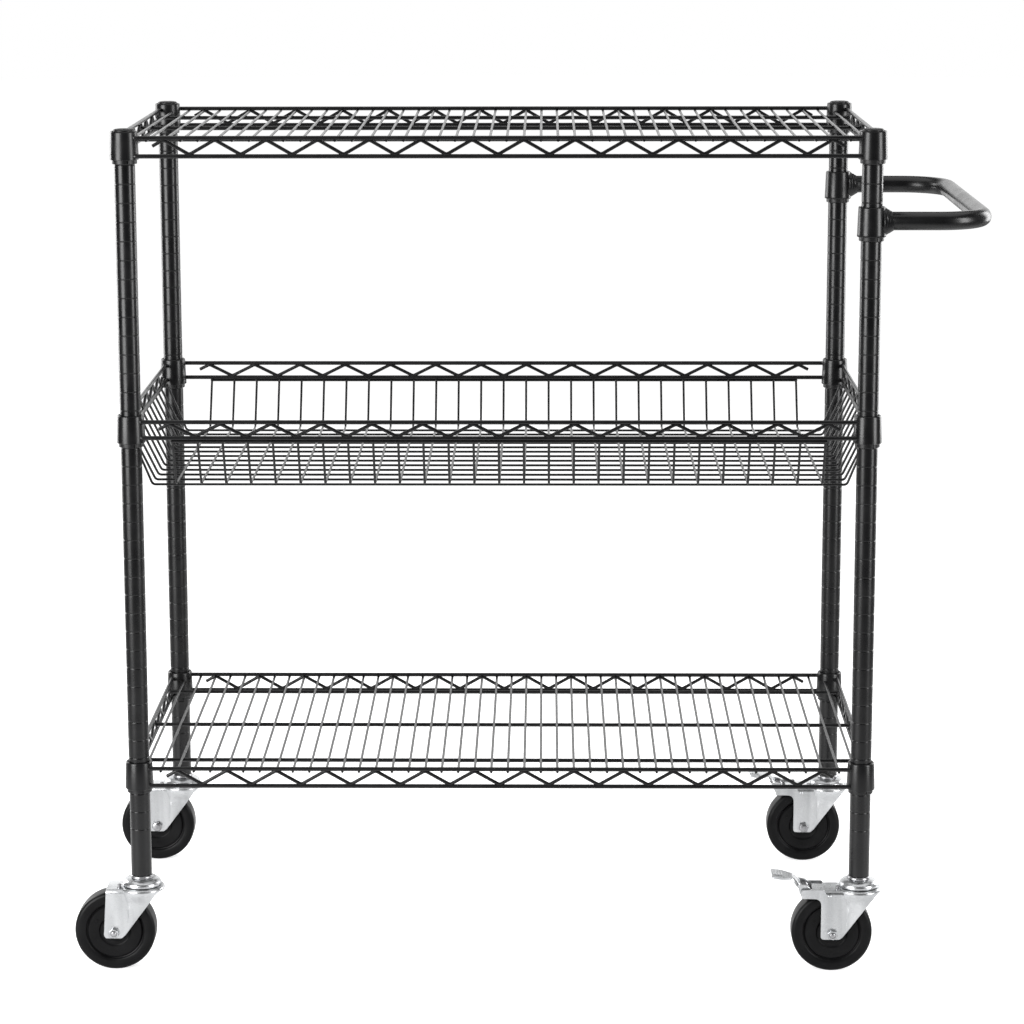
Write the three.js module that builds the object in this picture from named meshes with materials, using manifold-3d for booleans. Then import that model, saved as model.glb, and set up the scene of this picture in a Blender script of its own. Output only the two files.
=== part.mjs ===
// Wire shelf cart: four tube posts, two wire shelves, a shallow wire basket between them,
// a push handle on the +X end and four swivel casters. The casters on the handle end have
// foot brakes. Millimetres, +Z up. The wheels stand on z = 0.
import * as THREE from 'three';
import { mergeVertices } from 'three/addons/utils/BufferGeometryUtils.js';
import Module from 'manifold-3d';

// Layout
const POST_SPAN_X = 881;
const POST_SPAN_Y = 424;
const POST_X = POST_SPAN_X / 2;
const POST_Y = POST_SPAN_Y / 2;
const NOTCH_PITCH = 22.6;
const BOTTOM_SHELF_Z = 255.6;
const BASKET_Z = BOTTOM_SHELF_Z + 19 * NOTCH_PITCH;
const TOP_SHELF_Z = BASKET_Z + 15 * NOTCH_PITCH;
const HANDLE_Z = 925;

// Posts, caps, collars and tapered sleeves
const SIDES = 12;
const POST_R = 12.5;
const POST_BORE_R = 11.3;
const POST_BOTTOM = 119;
const POST_TOP = TOP_SHELF_Z + 7.2;
const COLLAR_TOP = 7.5;
const COLLAR_BOTTOM = -26;
const COLLAR_TOP_R = 16;
const COLLAR_BOTTOM_R = 17.2;
const SLEEVE_BORE_R = 12.8;
const SLEEVE_TOP_R = 13.7;
const SLEEVE_BOTTOM_R = 15;
const SLEEVE_SHOWING = 4.8;
const SLEEVE_INSET = 1;
const FIT_GAP = 0.35;

// Wires of the shelves
const RAIL = 4;
const RAIL_OUT = 9;
const SHELF_TRUSS_H = 21.5;
const BASKET_TRUSS_H = 19.3;
const ZIGZAG = 3.2;
const ZIGZAG_TAIL = 13;
const LONG_PITCH = 60.45;
const LONG_PEAKS = 14;
const SHORT_PITCH = 60;
const SHORT_PEAKS = 6;
const DECK_WIRE = 2.8;
const DECK_PITCH = 20.15;
const DECK_COUNT = 44;
const DECK_TOP = -1.4;
const BRACE = 4;
const BRACE_TOP = -4.5;
const BRACE_Y = 159;

// Basket
const TUB_WIRE = 2.2;
const TUB_PITCH = 30;
const TUB_CROSS = 27;
const TUB_LONG = 13;
const TUB_FLOOR = -82.3;
const TUB_FLOOR_X = 420;
const TUB_FLOOR_Y = 189;
const RIM = 2.4;
const RIM_Z = -22.8;
const RIM_X = POST_X + RAIL_OUT;
const RIM_Y = POST_Y + RAIL_OUT;
const RIM_CORNER = 45.5;

// Handle
const HANDLE_R = 11;
const HANDLE_BORE_R = 9.9;
const HANDLE_REACH = 137.6;
const HANDLE_BEND = 57;
const HANDLE_COLLAR_TOP = 17;
const HANDLE_COLLAR_BOTTOM = -18.5;

// Casters, measured from the swivel axis and the floor
const TRAIL = 33;
const WHEEL_R = 49.5;
const WHEEL_SIDES = 16;
const FORK_INNER = 17;
const FORK_SHEET = 2.5;
const FORK_TOP = 104;
const FORK_PLATE = 3.5;
const CROWN_R = 28;
const BOLT_R = 4;
const PEDAL_PIVOT = [-33.3, 53.6];
const PEDAL_HALF = 15;

// The origin lies under the middle of the whole cart, the wheels and the handle included.
const LEFT_EDGE = -POST_X - TRAIL - WHEEL_R;
const RIGHT_EDGE = POST_X + HANDLE_REACH + HANDLE_R;
const CENTRE_X = (LEFT_EDGE + RIGHT_EDGE) / 2;

const wasm = await Module();
wasm.setup();

// A closed three.js geometry as a manifold solid.
function solid(geometry) {
  const bare = geometry.clone();
  bare.deleteAttribute('normal');
  bare.deleteAttribute('uv');
  const merged = mergeVertices(bare, 1e-4);
  const corners = merged.index.array;
  const kept = [];
  for (let i = 0; i < corners.length; i += 3) {
    const [a, b, c] = [corners[i], corners[i + 1], corners[i + 2]];
    if (a !== b && b !== c && c !== a) {
      kept.push(a, b, c);
    }
  }
  const mesh = new wasm.Mesh({
    numProp: 3,
    vertProperties: merged.attributes.position.array,
    triVerts: Uint32Array.from(kept),
  });
  return new wasm.Manifold(mesh);
}

function geometryOf(body) {
  const mesh = body.getMesh();
  const geometry = new THREE.BufferGeometry();
  geometry.setAttribute('position', new THREE.BufferAttribute(mesh.vertProperties, 3));
  geometry.setIndex(new THREE.BufferAttribute(mesh.triVerts, 1));
  const flat = geometry.toNonIndexed();
  flat.computeVertexNormals();
  return flat;
}

function joined(parts, cutters = []) {
  let body = wasm.Manifold.union(parts.map(solid));
  if (cutters.length > 0) {
    body = body.subtract(wasm.Manifold.union(cutters.map(solid)));
  }
  return geometryOf(body);
}

function box(x0, x1, y0, y1, z0, z1) {
  const geometry = new THREE.BoxGeometry(x1 - x0, y1 - y0, z1 - z0);
  return geometry.translate((x0 + x1) / 2, (y0 + y1) / 2, (z0 + z1) / 2);
}

// A profile of [radius, height] turned about Z, counter-clockwise with the radius to the right.
function turned(profile, sides = SIDES) {
  const points = profile.map(([r, z]) => new THREE.Vector2(r, z));
  return new THREE.LatheGeometry(points, sides).rotateX(Math.PI / 2);
}

function ring(inner, outer, z0, z1, sides = SIDES) {
  return turned([[inner, z0], [outer, z0], [outer, z1], [inner, z1], [inner, z0]], sides);
}

function rod(radius, z0, z1, sides = SIDES) {
  return turned([[0, z0], [radius, z0], [radius, z1], [0, z1]], sides);
}

function shapeOf(points) {
  return new THREE.Shape(points.map(([x, y]) => new THREE.Vector2(x, y)));
}

function circlePoints(radius, sides, x = 0, y = 0) {
  const points = [];
  for (let i = 0; i < sides; i += 1) {
    const angle = (2 * Math.PI * i) / sides;
    points.push([x + radius * Math.sin(angle), y + radius * Math.cos(angle)]);
  }
  return points;
}

function withHoles(outline, holes) {
  const shape = shapeOf(outline);
  shape.holes = holes.map(shapeOf);
  return shape;
}

function slab(shape, thickness) {
  const options = { depth: thickness, bevelEnabled: false, curveSegments: 1 };
  return new THREE.ExtrudeGeometry(shape, options).translate(0, 0, -thickness / 2);
}

// A flat shape drawn in X and Z, thick along Y.
function slabXZ(shape, thickness, y = 0) {
  return slab(shape, thickness).rotateX(Math.PI / 2).translate(0, y, 0);
}

// A flat shape drawn in Y and Z, thick along X.
function slabYZ(shape, thickness, x = 0) {
  const turn = new THREE.Matrix4().makeBasis(
    new THREE.Vector3(0, 1, 0),
    new THREE.Vector3(0, 0, 1),
    new THREE.Vector3(1, 0, 0),
  );
  return slab(shape, thickness).applyMatrix4(turn).translate(x, 0, 0);
}

// The two sides of a bent strip: mitred corners, square ends unless it is a closed loop.
function stripSides(points, width, closed) {
  const count = points.length;
  const direction = (i, j) => {
    const [dx, dy] = [points[j][0] - points[i][0], points[j][1] - points[i][1]];
    const length = Math.hypot(dx, dy);
    return [dx / length, dy / length];
  };
  const left = [];
  const right = [];
  for (let i = 0; i < count; i += 1) {
    const before = closed || i > 0 ? direction((i + count - 1) % count, i) : direction(i, i + 1);
    const after = closed || i < count - 1 ? direction(i, (i + 1) % count) : before;
    const reach = width / 2 / (1 + before[0] * after[0] + before[1] * after[1]);
    const [nx, ny] = [-(before[1] + after[1]) * reach, (before[0] + after[0]) * reach];
    left.push([points[i][0] + nx, points[i][1] + ny]);
    right.push([points[i][0] - nx, points[i][1] - ny]);
  }
  return [left, right];
}

function strip(points, width) {
  const [left, right] = stripSides(points, width, false);
  return shapeOf([...right, ...left.reverse()]);
}

function loopStrip(points, width) {
  const [left, right] = stripSides(points, width, true);
  return withHoles(right, [left]);
}

// One side of a shelf along X, around its mid-height: two rails and a zigzag wire between
// them that ends in short tails outside its last peaks.
function trussSide(halfSpan, pitch, peaks, height) {
  const half = height / 2;
  const rise = half - 1.5;
  const slope = rise / (pitch / 4);
  const lastPeak = ((peaks - 1) / 2) * pitch;
  const tail = [lastPeak + ZIGZAG_TAIL, rise - ZIGZAG_TAIL * slope];
  const bends = [[-tail[0], tail[1]]];
  for (let i = 0; i <= 2 * (peaks - 1); i += 1) {
    bends.push([-lastPeak + (i * pitch) / 2, i % 2 === 0 ? rise : -rise]);
  }
  bends.push(tail);
  const parts = [slabXZ(strip(bends, ZIGZAG), ZIGZAG)];
  for (const z of [-half, half]) {
    parts.push(box(-halfSpan, halfSpan, -RAIL / 2, RAIL / 2, z - RAIL / 2, z + RAIL / 2));
  }
  return parts;
}

// Radius of the tapered sleeve at a height between its collar's bottom and top.
function sleeveRadius(z, top, bottom) {
  const low = bottom - SLEEVE_SHOWING;
  const high = top - SLEEVE_INSET;
  const part = (z - low) / (high - low);
  return SLEEVE_BOTTOM_R + (SLEEVE_TOP_R - SLEEVE_BOTTOM_R) * part;
}

function sleeve(top, bottom) {
  const low = bottom - SLEEVE_SHOWING;
  const high = top - SLEEVE_INSET;
  return turned([
    [SLEEVE_BORE_R, low],
    [SLEEVE_BOTTOM_R, low],
    [SLEEVE_TOP_R, high],
    [SLEEVE_BORE_R, high],
    [SLEEVE_BORE_R, low],
  ]);
}

function collarBody(top, bottom) {
  return turned([[0, bottom], [COLLAR_BOTTOM_R, bottom], [COLLAR_TOP_R, top], [0, top]]);
}

function collarBore(top, bottom) {
  const low = bottom - 1;
  const high = top + 1;
  return turned([
    [0, low],
    [sleeveRadius(low, top, bottom) + FIT_GAP, low],
    [sleeveRadius(high, top, bottom) + FIT_GAP, high],
    [0, high],
  ]);
}

const POSTS = [
  { name: 'front_left', x: -POST_X, y: -POST_Y },
  { name: 'front_right', x: POST_X, y: -POST_Y },
  { name: 'rear_left', x: -POST_X, y: POST_Y },
  { name: 'rear_right', x: POST_X, y: POST_Y },
];

// Four truss sides and four corner collars, around the height of the upper rails.
function sideFrame(trussHeight) {
  const drop = -trussHeight / 2;
  const parts = [];
  const cutters = [];
  for (const side of [-1, 1]) {
    for (const wire of trussSide(POST_X - 8, LONG_PITCH, LONG_PEAKS, trussHeight)) {
      parts.push(wire.translate(0, side * RIM_Y, drop));
    }
    for (const wire of trussSide(POST_Y - 8, SHORT_PITCH, SHORT_PEAKS, trussHeight)) {
      const upended = wire.rotateX(Math.PI).rotateZ(Math.PI / 2);
      parts.push(upended.translate(side * RIM_X, 0, drop));
    }
  }
  for (const post of POSTS) {
    parts.push(collarBody(COLLAR_TOP, COLLAR_BOTTOM).translate(post.x, post.y, 0));
    cutters.push(collarBore(COLLAR_TOP, COLLAR_BOTTOM).translate(post.x, post.y, 0));
  }
  return { parts, cutters };
}

function shelf() {
  const { parts, cutters } = sideFrame(SHELF_TRUSS_H);
  for (let i = 0; i < DECK_COUNT; i += 1) {
    const x = (i - (DECK_COUNT - 1) / 2) * DECK_PITCH;
    const endsAtCollar = i === 0 || i === DECK_COUNT - 1;
    const half = endsAtCollar ? POST_Y - 11 : RIM_Y + RAIL / 2 - 0.5;
    const [low, high] = [DECK_TOP - DECK_WIRE, DECK_TOP];
    parts.push(box(x - DECK_WIRE / 2, x + DECK_WIRE / 2, -half, half, low, high));
  }
  const middle = BRACE_TOP - BRACE / 2;
  const end = RIM_X - BRACE / 2;
  const bent = [[-end, -1], [-end, middle], [end, middle], [end, -1]];
  for (const y of [-BRACE_Y, 0, BRACE_Y]) {
    parts.push(slabXZ(strip(bent, BRACE), BRACE, y));
  }
  return joined(parts, cutters);
}

function basketFrame() {
  const { parts, cutters } = sideFrame(BASKET_TRUSS_H);
  return joined(parts, cutters);
}

// The basket hangs from a rim wire that passes inside the posts. Its crosswise wires lie on
// its lengthwise wires, with a small gap so that both sets join only at the rim.
function basketTub() {
  const rimX = RIM_X;
  const rimY = RIM_Y;
  const cut = RIM_CORNER;
  const rim = [
    [rimX - cut, -rimY],
    [rimX, -rimY + cut],
    [rimX, rimY - cut],
    [rimX - cut, rimY],
    [-rimX + cut, rimY],
    [-rimX, rimY - cut],
    [-rimX, -rimY + cut],
    [-rimX + cut, -rimY],
  ];
  const parts = [slab(loopStrip(rim, RIM), RIM).translate(0, 0, RIM_Z)];
  const layer = TUB_WIRE / 2 + 0.15;
  const upper = TUB_FLOOR + layer;
  const lower = TUB_FLOOR - layer;
  for (let i = 0; i < TUB_CROSS; i += 1) {
    const x = (i - (TUB_CROSS - 1) / 2) * TUB_PITCH;
    const bent = [[-rimY, RIM_Z], [-TUB_FLOOR_Y, upper], [TUB_FLOOR_Y, upper], [rimY, RIM_Z]];
    parts.push(slabYZ(strip(bent, TUB_WIRE), TUB_WIRE, x));
  }
  for (let i = 0; i < TUB_LONG; i += 1) {
    const y = (i - (TUB_LONG - 1) / 2) * TUB_PITCH;
    const pastCorner = Math.max(0, Math.abs(y) - (rimY - cut));
    const top = rimX - pastCorner;
    const bent = [[-top, RIM_Z], [-TUB_FLOOR_X, lower], [TUB_FLOOR_X, lower], [top, RIM_Z]];
    parts.push(slabXZ(strip(bent, TUB_WIRE), TUB_WIRE, y));
  }
  return joined(parts);
}

// Centre line of the handle tube: out from one collar, along the end and back to the other.
class HandlePath extends THREE.Curve {
  constructor() {
    super();
    const reach = POST_X + HANDLE_REACH;
    const arcSteps = 6;
    this.knots = [];
    this.knots.push([POST_X + 6, -POST_Y, 0]);
    for (let i = 0; i <= arcSteps; i += 1) {
      const turn = (Math.PI / 2) * (i / arcSteps);
      const x = reach - HANDLE_BEND + HANDLE_BEND * Math.sin(turn);
      this.knots.push([x, -POST_Y + HANDLE_BEND - HANDLE_BEND * Math.cos(turn), turn]);
    }
    for (let i = arcSteps + 1; i >= 0; i -= 1) {
      const [x, y, turn] = this.knots[i];
      this.knots.push([x, -y, Math.PI - turn]);
    }
    this.steps = this.knots.length - 1;
  }

  getPoint(t) {
    const [x, y] = this.knots[Math.round(t * this.steps)];
    return new THREE.Vector3(x, y, 0);
  }

  getTangent(t) {
    const turn = this.knots[Math.round(t * this.steps)][2];
    return new THREE.Vector3(Math.cos(turn), Math.sin(turn), 0);
  }

  getPointAt(t) {
    return this.getPoint(t);
  }

  getTangentAt(t) {
    return this.getTangent(t);
  }
}

function handle() {
  const path = new HandlePath();
  const options = { steps: path.steps, bevelEnabled: false, extrudePath: path };
  const parts = [new THREE.ExtrudeGeometry(shapeOf(circlePoints(HANDLE_R, 10)), options)];
  // The tube's bore stays open into both collars.
  const cutters = [new THREE.ExtrudeGeometry(shapeOf(circlePoints(HANDLE_BORE_R, 10)), options)];
  for (const side of [-1, 1]) {
    const y = side * POST_Y;
    const flare = new THREE.CylinderGeometry(HANDLE_R + 0.4, COLLAR_TOP_R, 10, SIDES);
    flare.rotateZ(-Math.PI / 2).scale(1, 0.8, 1);
    parts.push(flare.translate(POST_X + 16, y, 0));
    const collar = collarBody(HANDLE_COLLAR_TOP, HANDLE_COLLAR_BOTTOM);
    parts.push(collar.translate(POST_X, y, 0));
    const bore = collarBore(HANDLE_COLLAR_TOP, HANDLE_COLLAR_BOTTOM);
    cutters.push(bore.translate(POST_X, y, 0));
  }
  return joined(parts, cutters);
}

function post() {
  return ring(POST_BORE_R, POST_R, POST_BOTTOM, POST_TOP);
}

function postCap() {
  return turned([
    [0, POST_TOP - 12],
    [10.9, POST_TOP - 12],
    [10.9, POST_TOP + 0.3],
    [POST_R, POST_TOP + 0.3],
    [POST_R, POST_TOP + 1.5],
    [8.5, POST_TOP + 3.3],
    [0, POST_TOP + 3.3],
  ]);
}

// Plug in the post's end, flange, upper race cup and kingpin with its riveted head.
function casterStem() {
  return turned([
    [0, FORK_TOP - 6.8],
    [8, FORK_TOP - 6.8],
    [8, FORK_TOP - 3.8],
    [5, FORK_TOP - 3.8],
    [5, FORK_TOP + 3],
    [23.5, FORK_TOP + 3],
    [23.5, FORK_TOP + 6],
    [20, FORK_TOP + 9.6],
    [13.2, FORK_TOP + 11.3],
    [13.2, POST_BOTTOM - 0.3],
    [10.9, POST_BOTTOM - 0.3],
    [10.9, POST_BOTTOM + 28],
    [0, POST_BOTTOM + 28],
  ]);
}

// Cheek outlines in X and Z from the axle. The swivel axis is TRAIL ahead of the axle.
const PLAIN_CHEEK = [
  [-13, -4],
  [-10.5, -7.7],
  [9, -7.7],
  [13.5, -3.5],
  [50, 46],
  [50, 54.5],
  [-9, 54.5],
];
const BRAKE_CHEEK = [
  [-14, -4],
  [-11.5, -7.3],
  [9, -7.3],
  [13.5, -3.5],
  [50, 46],
  [50, 54.5],
  [-9, 54.5],
  [-13, 60],
  [-35, 60],
  [-38.6, 56],
  [-38.6, 44.7],
  [-22, 44.7],
  [-16.3, 42.4],
  [-14, 36.7],
];

function fork(braked) {
  const holes = [circlePoints(BOLT_R + 0.6, 8)];
  if (braked) {
    holes.push(circlePoints(2.9, 8, PEDAL_PIVOT[0], PEDAL_PIVOT[1]));
  }
  const outline = withHoles(braked ? BRAKE_CHEEK : PLAIN_CHEEK, holes);
  const parts = [];
  for (const side of [-1, 1]) {
    const cheek = slabXZ(outline, FORK_SHEET, side * (FORK_INNER + FORK_SHEET / 2));
    parts.push(cheek.translate(-TRAIL, 0, WHEEL_R));
  }
  const outer = FORK_INNER + FORK_SHEET;
  const under = FORK_TOP - FORK_PLATE;
  parts.push(box(-9 - TRAIL, 17, -outer, outer, under, FORK_TOP));
  parts.push(rod(CROWN_R, under, FORK_TOP));
  return joined(parts, [rod(5.5, under - 1, FORK_TOP + 1)]);
}

function ballRing() {
  return ring(14.5, 19.5, FORK_TOP + 0.3, FORK_TOP + 2.7);
}

// Wheel, bush, bolt and nut lie along Y with their middle at the origin.
function alongY(geometry) {
  return geometry.rotateX(-Math.PI / 2);
}

function wheel() {
  const corner = 1 / Math.cos(Math.PI / WHEEL_SIDES);
  const half = [
    [6.5, 15.8],
    [12, 15.8],
    [13, 13.4],
    [WHEEL_R - 3.5, 14.3],
    [WHEEL_R * corner, 11],
  ];
  const lower = half.map(([r, y]) => [r, -y]);
  const profile = [...lower, ...half.reverse(), lower[0]];
  return alongY(turned(profile, WHEEL_SIDES).rotateZ(Math.PI / WHEEL_SIDES));
}

function bush() {
  return alongY(ring(4.4, 6, -16.6, 16.6, 8));
}

function boltEnds() {
  const face = FORK_INNER + FORK_SHEET + 0.3;
  return { face, head: face + 5, tip: face + 6.7 };
}

function axleBolt() {
  const { face, head, tip } = boltEnds();
  const shank = rod(BOLT_R, -tip, face + 1, 8);
  const hexHead = rod(7, face, head, 6);
  return alongY(joined([shank, hexHead]));
}

function axleNut() {
  const { face, head } = boltEnds();
  const blank = rod(7, -head, -face, 6);
  const thread = rod(BOLT_R + 0.35, -head - 1, 1 - face, 8);
  return alongY(joined([blank], [thread]));
}

// Pedal and pad are drawn from the pedal's pivot. The plate rises to the tread for the foot.
function brakePedal() {
  const plate = strip([[9, 5.5], [-6, 7.5], [-15, 15], [-41, 19]], 2.4);
  const pin = alongY(rod(2.5, -19.3, 19.3, 8));
  const hub = alongY(rod(6, -PEDAL_HALF, PEDAL_HALF, 8));
  return joined([slabXZ(plate, 2 * PEDAL_HALF), pin, hub]);
}

function brakePad() {
  const outline = shapeOf([[-4, -6.5], [-4, -11.3], [0, -12.4], [4, -11.3], [4, -6.5]]);
  return slabXZ(outline, 20);
}

const FINISH = {
  black: { color: 0x1c1c1e, roughness: 0.42, metalness: 0.35 },
  plastic: { color: 0x151516, roughness: 0.55, metalness: 0 },
  zinc: { color: 0xd5d7da, roughness: 0.3, metalness: 0.9 },
  steel: { color: 0xb4b7bb, roughness: 0.28, metalness: 1 },
  tread: { color: 0x202022, roughness: 0.7, metalness: 0 },
  bronze: { color: 0x6f6658, roughness: 0.5, metalness: 0.6 },
  rubber: { color: 0x2b2b2b, roughness: 0.85, metalness: 0 },
};

const cart = new THREE.Group();
const body = new THREE.Group();
body.position.x = -CENTRE_X;
cart.add(body);

function place(name, geometry, finish, parent, x = 0, y = 0, z = 0) {
  const mesh = new THREE.Mesh(geometry, new THREE.MeshStandardMaterial(FINISH[finish]));
  mesh.name = name;
  mesh.position.set(x, y, z);
  parent.add(mesh);
  return mesh;
}

const shelfGeometry = shelf();
place('shelf_top', shelfGeometry, 'black', body, 0, 0, TOP_SHELF_Z);
place('shelf_bottom', shelfGeometry.clone(), 'black', body, 0, 0, BOTTOM_SHELF_Z);
place('basket_frame', basketFrame(), 'black', body, 0, 0, BASKET_Z);
place('basket_tub', basketTub(), 'black', body, 0, 0, BASKET_Z);
place('push_handle', handle(), 'black', body, 0, 0, HANDLE_Z);

const LEVELS = [
  { name: 'bottom', z: BOTTOM_SHELF_Z },
  { name: 'basket', z: BASKET_Z },
  { name: 'top', z: TOP_SHELF_Z },
];

for (const { name, x, y } of POSTS) {
  place(`post_${name}`, post(), 'black', body, x, y);
  place(`cap_${name}`, postCap(), 'plastic', body, x, y);
  for (const level of LEVELS) {
    const geometry = sleeve(COLLAR_TOP, COLLAR_BOTTOM);
    place(`sleeve_${level.name}_${name}`, geometry, 'plastic', body, x, y, level.z);
  }
  const onHandleEnd = x > 0;
  if (onHandleEnd) {
    const geometry = sleeve(HANDLE_COLLAR_TOP, HANDLE_COLLAR_BOTTOM);
    place(`sleeve_handle_${name}`, geometry, 'plastic', body, x, y, HANDLE_Z);
  }
  place(`stem_${name}`, casterStem(), 'zinc', body, x, y);

  const caster = new THREE.Group();
  caster.position.set(x, y, 0);
  body.add(caster);
  place(`fork_${name}`, fork(onHandleEnd), 'zinc', caster);
  place(`ball_ring_${name}`, ballRing(), 'steel', caster);

  const axle = new THREE.Group();
  axle.position.set(-TRAIL, 0, WHEEL_R);
  axle.rotation.z = y > 0 ? Math.PI : 0;
  caster.add(axle);
  place(`wheel_${name}`, wheel(), 'tread', axle);
  place(`bush_${name}`, bush(), 'bronze', axle);
  place(`bolt_${name}`, axleBolt(), 'steel', axle);
  place(`nut_${name}`, axleNut(), 'steel', axle);

  if (onHandleEnd) {
    const pivot = new THREE.Group();
    pivot.position.set(PEDAL_PIVOT[0] - TRAIL, 0, PEDAL_PIVOT[1] + WHEEL_R);
    caster.add(pivot);
    place(`brake_pedal_${name}`, brakePedal(), 'zinc', pivot);
    place(`brake_pad_${name}`, brakePad(), 'rubber', pivot);
  }
}

export default cart;
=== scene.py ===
import math
import random

import bmesh
import bpy
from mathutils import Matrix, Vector


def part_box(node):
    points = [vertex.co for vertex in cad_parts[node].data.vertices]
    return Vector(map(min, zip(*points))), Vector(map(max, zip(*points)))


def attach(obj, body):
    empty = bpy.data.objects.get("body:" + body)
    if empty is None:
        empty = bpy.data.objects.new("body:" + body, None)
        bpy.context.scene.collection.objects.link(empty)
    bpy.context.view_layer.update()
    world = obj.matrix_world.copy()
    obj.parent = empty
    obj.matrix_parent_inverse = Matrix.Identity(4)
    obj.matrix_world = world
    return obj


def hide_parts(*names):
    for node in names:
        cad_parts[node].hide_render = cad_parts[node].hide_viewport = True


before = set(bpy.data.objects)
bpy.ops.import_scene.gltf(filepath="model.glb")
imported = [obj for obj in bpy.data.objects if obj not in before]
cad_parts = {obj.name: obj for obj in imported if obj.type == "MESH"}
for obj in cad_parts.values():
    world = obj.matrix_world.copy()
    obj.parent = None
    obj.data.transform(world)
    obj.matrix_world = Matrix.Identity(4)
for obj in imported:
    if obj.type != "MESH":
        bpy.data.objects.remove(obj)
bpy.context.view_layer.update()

random.seed(7)

# Sizes in millimetres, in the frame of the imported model.
MM = 0.001

# Posts, and the notch grooves counted from the bottom shelf. A groove is (height, depth) pairs.
POST_R, POST_BORE_R = 12.5, 11.3
NOTCH_PITCH = 22.6
NOTCH_OFFSET = -9.2
NOTCHES_BELOW = 3
GROOVE = [
    (-1.6, 0.0), (-0.9, 0.0), (-0.66, 0.06), (-0.38, 0.42), (0.0, 0.5),
    (0.38, 0.42), (0.66, 0.06), (0.9, 0.0), (1.6, 0.0),
]

# Collars and sleeves, with heights measured from the level of their shelf or handle.
COLLAR_TOP, COLLAR_BOTTOM = 7.5, -26.0
HANDLE_TOP, HANDLE_BOTTOM = 17.0, -18.5
COLLAR_R = 17.2
SLEEVE_BORE_R, SLEEVE_TOP_R, SLEEVE_BOTTOM_R = 12.8, 13.7, 15.0
SLEEVE_SHOWING = 4.8
SLEEVE_INSET = 1.0
SLEEVE_FIT = 0.35
SPLIT_AT, SPLIT_HALF = -67.0, 2.0

# Radii of the wires and of the weld beads on them.
RAIL_R = 2.6
ZIGZAG_R = 2.15
DECK_R = 1.6
BRACE_R = 2.5
TUB_R = 1.5
RIM_R = 1.55
RAIL_WELD_R = 3.2
DECK_WELD_R = 1.7
BRACE_WELD_R = 1.55
RIM_WELD_R = 1.9
MESH_WELD_R = 1.15

# Shelves. Rails start RAIL_START from the post axes, and the deck wires beside a collar DECK_START.
RAIL_OUT = 9.0
RAIL_START = 13.2
DECK_START, DECK_PAST = 14.6, 1.6
SHELF_DROP = 21.5
BASKET_DROP = 19.3
DECK_COUNT = 44
DECK_PITCH = 20.15
DECK_Z = -3.1
BRACE_Z, BRACE_END_Z = -7.2, -1.8
BRACE_Y = 159.0
LONG_PITCH, LONG_PEAKS = 60.45, 14
SHORT_PITCH, SHORT_PEAKS = 60.0, 6
ZIGZAG_TAIL = 13.0
ZIGZAG_BEND = 5.0
RAIL_INSET = 2.1

# Basket wires, with heights measured from the level of the basket's frame.
TUB_PITCH = 30.0
CROSSWISE, LENGTHWISE = 27, 13
TUB_RIM_Z = -23.3
TUB_FLOOR_Z = -82.3
TUB_FLOOR_X, TUB_FLOOR_Y = 420.0, 189.0
TUB_BEND = 5.5
RIM_PAST = 1.6
RIM_CUT = 45.5

# Push handle, and the flare of weld between its tube and each collar.
HANDLE_R = 11.0
HANDLE_BEND = 57.0
HANDLE_START = 13.0
FLARE_START, FLARE_LENGTH = 12.5, 13.0
FLARE_WIDE, FLARE_TALL, FLARE_TALLEST = 2.2, 7.6, 17.0

# Casters. Heights are above the floor, and PIVOT_X and PIVOT_Z run from the axle to the pedal's pin.
TRAIL = 33.0
WHEEL_R = 49.5
FORK_INNER, FORK_OUTER = 17.0, 19.5
FORK_TOP = 104.0
FORK_UNDER = 100.5
CHANNEL_BEND = 4.0
CHANNEL_FRONT = 50.0
CHANNEL_BACK, BRAKE_CHANNEL_BACK = 9.4, 24.5
CROWN_R = 28.0
NUT_GAP = 0.3
NUT_FLAT = 5.5
HEAD_R = 6.9
PIVOT_X, PIVOT_Z = -33.3, 53.6
PEDAL_SHEET = 2.2
PEDAL_NECK, PEDAL_AT_PIN, PEDAL_PLATE = 9.5, 14.1, 15.0

PLACES = ("front_left", "front_right", "rear_left", "rear_right")


def node_box(node):
    low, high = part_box(node)
    return low / MM, high / MM


def post_axis(place):
    low, high = node_box("post_" + place)
    return (low.x + high.x) / 2, (low.y + high.y) / 2


POSTS = {place: post_axis(place) for place in PLACES}
LEFT_X, FRONT_Y = POSTS["front_left"]
RIGHT_X, REAR_Y = POSTS["rear_right"]
MID_X = (LEFT_X + RIGHT_X) / 2
HALF_X = (RIGHT_X - LEFT_X) / 2
HALF_Y = (REAR_Y - FRONT_Y) / 2
RAIL_X = HALF_X + RAIL_OUT
RAIL_Y = HALF_Y + RAIL_OUT
BOTTOM_Z = node_box("shelf_bottom")[1].z - COLLAR_TOP
BASKET_Z = node_box("basket_frame")[1].z - COLLAR_TOP
TOP_Z = node_box("shelf_top")[1].z - COLLAR_TOP
HANDLE_Z = node_box("push_handle")[1].z - HANDLE_TOP
POST_LOW, POST_HIGH = (corner.z for corner in node_box("post_front_left"))
HANDLE_END_X = node_box("push_handle")[1].x - HANDLE_R


# ---------------------------------------------------------------- meshes


class Shell:
    """The vertices, in millimetres, and the faces of one piece."""

    def __init__(self):
        self.verts = []
        self.faces = []
        self.mats = []

    def add(self, verts, faces, mat=0):
        base = len(self.verts)
        self.verts.extend(tuple(v) for v in verts)
        self.faces.extend([i + base for i in face] for face in faces)
        self.mats.extend([mat] * len(faces))


def ring_faces(rings, sides):
    """Faces between each ring of vertices and the next."""
    faces = []
    for i in range(rings - 1):
        for k in range(sides):
            m = (k + 1) % sides
            faces.append([i * sides + k, i * sides + m, (i + 1) * sides + m, (i + 1) * sides + k])
    return faces


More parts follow.
